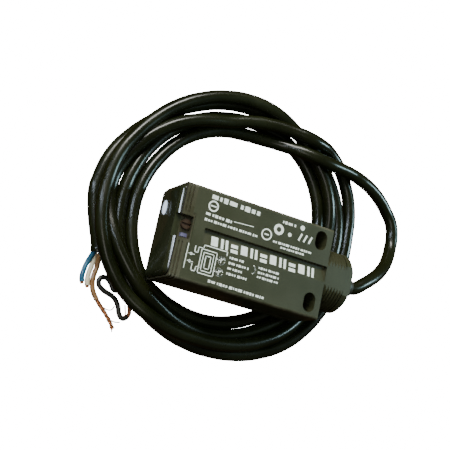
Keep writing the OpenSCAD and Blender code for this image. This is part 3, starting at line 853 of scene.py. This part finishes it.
@dataclass
class PrintedFace:
    """Generic marks in pale ink on the label face and in its ramped channel."""

    top: float = 8.0
    ink: float = 0.03
    channel_half: float = 2.3
    channel_deep: float = 1.1
    channel_lip: float = 0.12
    gutter: float = 0.9
    marks: list[Piece] = field(default_factory=list)

    def keep(self) -> Piece:
        """Adds the newest primitive to the marks and returns it."""
        self.marks.append(bpy.context.active_object)
        return self.marks[-1]

    def bar(self, start: Flat, end: Flat, width: float) -> None:
        """Prints a straight stroke.

        Args:
            start: middle of one end.
            end: middle of the other end.
            width: the stroke's width.
        """
        run = Vector(end) - Vector(start)
        middle = (Vector(start) + Vector(end)) / 2
        deselect()
        bpy.ops.mesh.primitive_plane_add(size=1, location=(middle.x * MM, middle.y * MM, self.top * MM),
                                         rotation=(0, 0, math.atan2(run.y, run.x)))
        self.keep().scale = (run.length * MM, width * MM, 1)

    def disc(self, centre: Flat, radius: float, hole: float = 0.0) -> None:
        """Prints a disc, or a ring if it has a hole.

        Args:
            centre: its middle.
            radius: its radius.
            hole: the hole's radius.
        """
        deselect()
        bpy.ops.mesh.primitive_circle_add(vertices=36, radius=radius * MM, fill_type="NGON",
                                          location=(centre[0] * MM, centre[1] * MM, self.top * MM))
        self.keep()
        if hole:
            bpy.ops.object.mode_set(mode="EDIT")
            bpy.ops.mesh.select_all(action="SELECT")
            bpy.ops.mesh.inset(thickness=(radius - hole) * MM)
            bpy.ops.mesh.delete(type="FACE")
            bpy.ops.object.mode_set(mode="OBJECT")

    def arc(self, centre: Flat, radius: float, start: float, end: float, width: float) -> None:
        """Prints an arc as short strokes.

        Args:
            centre: its middle.
            radius: its radius.
            start: angle of its first end, in degrees.
            end: angle of its other end, in degrees.
            width: the strokes' width.
        """
        steps = max(4, round(abs(end - start) / 15))
        angles = [math.radians(start + (end - start) * k / steps) for k in range(steps + 1)]
        points = [(centre[0] + radius * math.cos(a), centre[1] + radius * math.sin(a)) for a in angles]
        self.path(points, width)

    def path(self, points: list[Flat], width: float) -> None:
        """Prints strokes from point to point, each a little long so that the corners close.

        Args:
            points: the corners.
            width: the strokes' width.
        """
        for start, end in zip(points, points[1:]):
            run = (Vector(end) - Vector(start)).normalized() * width / 2
            self.bar(tuple(Vector(start) - run), tuple(Vector(end) + run), width)

    def row(self, start: Flat, end: Flat, height: float, seed: int, blank: float = 0.3) -> None:
        """Prints a row of plain dashes of mixed lengths, in place of a line of small print.

        Args:
            start: middle of the row's first end.
            end: middle of its other end.
            height: height of the dashes.
            seed: picks the order of the lengths.
            blank: gap between dashes, in heights.
        """
        lengths = (0.7, 1.3, 0.5, 0.9, 1.6, 0.6, 1.1, 0.8)
        run = Vector(end) - Vector(start)
        along = run.normalized()
        at, k = 0.0, seed
        while at < run.length:
            size = min(lengths[k % len(lengths)] * height, run.length - at)
            a, b = Vector(start) + along * at, Vector(start) + along * (at + size)
            if size > 0.2 * height:
                self.bar(tuple(a), tuple(b), height * (0.8 if k % 3 else 1.0))
            at += size + blank * height * (1 if k % 4 else 2.2)
            k += 1

    def diagram(self) -> None:
        """Prints a plain wiring sketch: a supply line, a coil, nested boxes and two switch symbols."""
        line = 0.28
        self.bar((-43.8, -3.2), (-43.8, -10.2), line)
        for y in (-5.8, -7.9):
            self.disc((-42.5, y), 0.42)
            self.bar((-43.3, y), (-41.4, y), line * 0.8)
        self.path([(-41.6, -3.4), (-41.6, -5), (-40.6, -5), (-40.6, -3.4), (-39.4, -3.4)], line)
        self.path([(-41.6, -8.4), (-41.6, -10.2), (-40.4, -10.2), (-40.4, -8.8), (-39.4, -8.8)], line)
        for inset in (0.0, 0.8, 1.6):
            left, right, low, high = -39.6 + inset, -34.9 - inset, -10.3 + inset, -3.6 - inset
            self.path([(left, low), (right, low), (right, high), (left, high), (left, low)], line)
        self.path([(-39.1, -3), (-39.1, -2.4), (-31.9, -2.4), (-31.9, -3.4)], line)
        for y in (-5.2, -8.6):
            self.arc((-33.2, y), 1.05, 20, 340, line)
            self.bar((-34.8, y), (-33.4, y), line)
            self.bar((-33.4, y - 0.7), (-33.4, y + 0.7), line)
            self.bar((-33.3, y), (-32.3, y + 0.9), line)
        for k, y in enumerate((-3.7, -5.2, -6.7, -8.2)):
            self.row((-31, y), (-24.6 if k % 2 else -26.2, y), 0.72, 2 + k)
        self.arc((-23.8, -5), 1.3, -60, 60, line)
        for k, y in enumerate((-4, -5.3, -6.6)):
            self.row((-21.6, y), (-14.6, y), 0.66, 5 + k)
        self.row((-35.9, -11.7), (-18, -11.9), 0.8, 3)

    def upper_half(self) -> None:
        """Prints the marks above the channel: rows of dashes, rings, discs and three slanted bars."""
        self.row((-40, 11.4), (-24.4, 10.9), 1.5, 1, 0.34)
        self.disc((-39, 8.8), 1.6, 1.15)
        self.bar((-39.9, 8.8), (-38.1, 8.8), 0.4)
        self.row((-40.8, 6.3), (-32.4, 6.1), 0.9, 4)
        self.bar((-32, 6.4), (-25.7, 6.8), 0.2)
        self.row((-40.8, 4.6), (-24, 4.5), 0.75, 6)
        self.disc((-21.3, 5.9), 1.7, 1.3)
        self.bar((-22, 5.9), (-20.6, 5.9), 0.45)
        self.disc((-17.8, 8.4), 1.6, 0.75)
        self.disc((-14.1, 7.9), 0.6)
        for x in (-10.6, -8.9, -7.2):
            self.bar((x - 0.4, 7.1), (x + 0.4, 9.3), 0.6)
        self.row((-17, 10.9), (-12.6, 10.9), 0.9, 2)
        self.disc((-10.4, 11), 0.75)
        self.row((-18.9, 4.6), (-6, 4.7), 0.7, 7)
        self.row((-16.2, 3.5), (-8.4, 3.6), 0.6, 3)

    def channel_blocks(self) -> None:
        """Prints a row of bold plain blocks along the channel, some solid and some split."""
        count, first, last, middle = 11, -36.2, -4.8, -0.55
        pitch = (last - first) / (count - 1)
        for k in range(count):
            x = first + k * pitch
            if k % 3 == 1:
                for side in (-1, 1):
                    self.bar((x + side * 0.72, -2.0), (x + side * 0.72, 0.9), 0.8)
            elif k % 3 == 2:
                for y in (-1.7, -0.2):
                    self.bar((x - 1.1, y), (x + 1.1, y), 1.0)
            else:
                self.bar((x - 1.05, middle), (x + 1.05, middle), 2.7)

    def ramp(self, y: float) -> float:
        """Height of the channel's floor at a place across it."""
        slope = (self.channel_deep - self.channel_lip) / (2 * self.channel_half - self.gutter)
        return self.top - self.channel_lip - slope * (y + self.channel_half)

    def thicken(self, piece: Piece) -> None:
        """Gives flat marks the ink's thickness, half of it in the face.

        Args:
            piece: the flat marks.
        """
        film = piece.modifiers.new("film", "SOLIDIFY")
        film.thickness = self.ink * MM
        film.offset = 0.0
        pick(piece)
        bpy.ops.object.modifier_apply(modifier="film")

    def build(self, palette: Palette) -> None:
        """Makes the printed marks of the face and of the channel.

        Args:
            palette: where the ink comes from.
        """
        self.upper_half()
        self.diagram()
        face = merge(self.marks, "face_print")
        self.marks = []
        self.channel_blocks()
        blocks = merge(self.marks, "channel_print")
        for vertex in blocks.data.vertices:
            vertex.co.z = self.ramp(vertex.co.y / MM) * MM
        for piece in (face, blocks):
            self.thicken(piece)
            palette.dress(piece, PRINT)
            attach(piece, "sensor_body")
            log.info("%s: %d faces", piece.name, len(piece.data.polygons))


# ---------------------------------------------------------------- inside the body

@dataclass
class BoardDetails:
    """The controller's legs and the header's solder, on the boards inside the housing.

    Args:
        leg: a leg's width, its reach out of the chip and its thickness.
        pitch: distance from leg to leg.
        leg_rise: height of the legs above the chip's underside.
        dots: how many solder dots there are.
        dot: a dot's radius at the board, its radius on top and its height.
        dot_round: rounding of the dots.
        dot_out: how far behind the header the dots stand.
        tinned: the legs' finish.
        solder: the dots' finish.
    """

    leg: Point = (0.35, 0.5, 0.12)
    pitch: float = 0.65
    leg_rise: float = 0.5
    dots: int = 9
    dot: Point = (0.45, 0.14, 0.5)
    dot_round: float = 0.1
    dot_out: float = 0.5
    tinned: Finish = Finish("tinned_leads", (0.60, 0.60, 0.58), (0.74, 0.73, 0.70), 0.25, 0.4, metal=1.0)
    solder: Finish = Finish("solder", (0.52, 0.52, 0.50), (0.66, 0.65, 0.62), 0.2, 0.45, metal=1.0)

    def chip_legs(self) -> Piece:
        """Makes the short straight legs along both sides of the controller chip.

        Returns:
            All the legs, as one piece.
        """
        low, high = (Vector(c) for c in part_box("controller_chip"))
        deselect()
        bpy.ops.mesh.primitive_cube_add(size=1)
        leg = bpy.context.active_object
        leg.scale = [size * MM for size in self.leg]
        bpy.ops.object.transform_apply(scale=True)
        count = int((high.x - low.x) / MM / self.pitch) - 1
        start = (low.x + high.x) / 2 - (count - 1) / 2 * self.pitch * MM
        reach = self.leg[1] / 2 * MM
        places = [Matrix.Translation((start + k * self.pitch * MM, y, low.z + self.leg_rise * MM))
                  for y in (low.y - reach, high.y + reach) for k in range(count)]
        return merge(repeat(leg, places), "controller_legs")

    def solder_row(self) -> Piece:
        """Makes the row of solder fillets along the board header's back edge.

        Returns:
            All the fillets, as one piece.
        """
        low, high = (Vector(c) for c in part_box("board_header"))
        spacing = (high.y - low.y) / (self.dots + 0.5)
        wide, narrow, tall = (size * MM for size in self.dot)
        deselect()
        bpy.ops.mesh.primitive_cone_add(vertices=16, radius1=wide, radius2=narrow, depth=tall)
        dot = bpy.context.active_object
        bpy.ops.object.mode_set(mode="EDIT")
        bpy.ops.mesh.select_all(action="SELECT")
        bpy.ops.mesh.bevel(offset=self.dot_round * MM, segments=2)
        bpy.ops.object.mode_set(mode="OBJECT")
        bpy.ops.object.shade_smooth_by_angle()
        x, z = high.x + self.dot_out * MM, low.z + tall / 2
        places = [Matrix.Translation((x, low.y + (k + 0.75) * spacing, z)) for k in range(self.dots)]
        return merge(repeat(dot, places), "header_solder")

    def build(self, palette: Palette) -> None:
        """Makes and dresses the board details.

        Args:
            palette: where the materials come from.
        """
        for piece, finish in ((self.chip_legs(), self.tinned), (self.solder_row(), self.solder)):
            palette.dress(piece, finish)
            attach(piece, "sensor_body")
            log.info("%s: %d faces", piece.name, len(piece.data.polygons))


# ---------------------------------------------------------------- the stage

@dataclass
class Studio:
    """The camera, a glowing pale floor, a dim room and soft lights.

    Args:
        eye: the camera's place.
        ahead: the way that it looks.
        up: the way that is up for it.
        lens: its focal length.
        sensor: its sensor's width.
        floor: the floor's height.
        floor_side: the floor's width.
        card: the reflection card's place over the floor.
        card_rise: the card's height above the floor.
        card_size: the card's two radii.
        bench: the room's colour below.
        walls: the room's colour above.
    """

    eye: Point = (-147.9, -61.1, 264.6)
    ahead: Point = (0.3936, 0.2284, -0.8904)
    up: Point = (-0.2855, 0.9511, 0.1178)
    lens: float = 83.3
    sensor: float = 36.0
    floor: float = -12.12
    floor_side: float = 6000.0
    card: Flat = (-52.5, 9.3)
    card_rise: float = 0.07
    card_size: Flat = (0.65, 2.2)
    bench: Rgb = (0.045, 0.026, 0.012)
    walls: Rgb = (0.12, 0.13, 0.105)

    def camera(self) -> None:
        """Places the camera."""
        data = bpy.data.cameras.new("camera")
        data.lens = self.lens
        data.sensor_width = self.sensor
        data.clip_start = 0.01
        data.clip_end = 20
        piece = bpy.data.objects.new("camera", data)
        forward = Vector(self.ahead).normalized()
        right = forward.cross(Vector(self.up)).normalized()
        above = right.cross(forward)
        turn = Matrix((right, above, -forward)).transposed().to_4x4()
        piece.matrix_world = Matrix.Translation(Vector(self.eye) * MM) @ turn
        bpy.context.scene.collection.objects.link(piece)
        bpy.context.scene.camera = piece

    def backdrop(self, palette: Palette) -> None:
        """Lays the floor, which only the camera sees, and sets the room that lights the object all round.

        Args:
            palette: where the materials come from.
        """
        deselect()
        bpy.ops.mesh.primitive_plane_add(size=self.floor_side * MM, location=(0, 0, self.floor * MM))
        ground = settle(bpy.context.active_object, "floor")
        ground.visible_diffuse = False
        ground.visible_glossy = False
        palette.dress(ground, FLOOR)
        self.bounce_card(palette)
        world = bpy.data.worlds.new("studio_room")
        world.use_nodes = True
        tree = world.node_tree
        split = tree.nodes.new("ShaderNodeSeparateXYZ")
        tree.links.new(tree.nodes.new("ShaderNodeTexCoord").outputs["Generated"], split.inputs[0])
        mix = tree.nodes.new("ShaderNodeMix")
        mix.data_type = "RGBA"
        mix.inputs["A"].default_value = (*self.bench, 1.0)
        mix.inputs["B"].default_value = (*self.walls, 1.0)
        tree.links.new(remap(tree, split.outputs["Z"], -0.05, 0.35, 0.0, 1.0), mix.inputs["Factor"])
        tree.links.new(mix.outputs["Result"], tree.nodes["Background"].inputs["Color"])
        bpy.context.scene.world = world

    def bounce_card(self, palette: Palette) -> None:
        """Lays a bright card just above the floor, seen only as a reflection in glossy surfaces.

        Args:
            palette: where the materials come from.
        """
        deselect()
        place = Vector((*self.card, self.floor + self.card_rise)) * MM
        bpy.ops.mesh.primitive_circle_add(vertices=48, radius=1, fill_type="NGON", location=place)
        card = bpy.context.active_object
        card.scale = (self.card_size[0] * MM, self.card_size[1] * MM, 1)
        settle(card, "bounce_card")
        card.visible_camera = False
        card.visible_diffuse = False
        card.visible_shadow = False
        palette.dress(card, CARD)

    def lamp(self, name: str, place: Point, aim: Point, size: Flat, power: float, tint: Rgb) -> None:
        """Adds one soft rectangular light.

        Args:
            name: the light's name.
            place: where it stands.
            aim: the point it faces.
            size: its width and height.
            power: its power in watts.
            tint: its colour.
        """
        data = bpy.data.lights.new(name, "AREA")
        data.shape = "RECTANGLE"
        data.size = size[0] * MM
        data.size_y = size[1] * MM
        data.energy = power
        data.color = tint
        piece = bpy.data.objects.new(name, data)
        piece.location = Vector(place) * MM
        piece.rotation_euler = (Vector(aim) - Vector(place)).to_track_quat("-Z", "Y").to_euler()
        bpy.context.scene.collection.objects.link(piece)

    def lights(self) -> None:
        """Hangs the soft lights: one behind, two narrow ones left, one at the right and one overhead."""
        middle = (-20, 8, 0)
        self.lamp("back_light", (-200, 420, 380), middle, (420, 160), 5.4, (1.0, 0.99, 0.93))
        self.lamp("left_light", (-420, 108, 300), middle, (16, 460), 1.1, (0.72, 0.84, 1.0))
        self.lamp("left_strip", (-420, 86, 240), middle, (8, 260), 0.2, (0.78, 0.86, 1.0))
        self.lamp("right_light", (380, 110, 230), middle, (70, 220), 1.6, (0.58, 0.88, 0.96))
        self.lamp("overhead", (-260, -160, 520), middle, (260, 200), 0.47, (1.0, 0.97, 0.9))


# ---------------------------------------------------------------- all together


def main() -> None:
    """Builds the camera, the cable and its conductors, then the face print, the insides and the stage."""
    logging.basicConfig(level=logging.INFO, format="%(message)s")
    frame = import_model()
    palette = Palette()
    studio = Studio()
    studio.camera()

    lead = WoundLead()
    cable = lead.build()
    palette.dress(cable, JACKET)
    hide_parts("cable_lead", "cable_coil", "cable_tail")
    lip = lead.cut_end()
    palette.dress(lip, JACKET)
    for piece in (cable, lip):
        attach(piece, "sensor_body")
    on_cable = [lip]
    for conductor in CONDUCTORS:
        on_cable += conductor.build(palette)

    for node, finish in NODE_FINISH.items():
        palette.dress(frame["nodes"][node], finish)
        log.info("%s: %s", node, finish.name)
    PrintedFace().build(palette)
    BoardDetails().build(palette)
    studio.backdrop(palette)
    studio.lights()


if __name__ == "__main__":
    main()
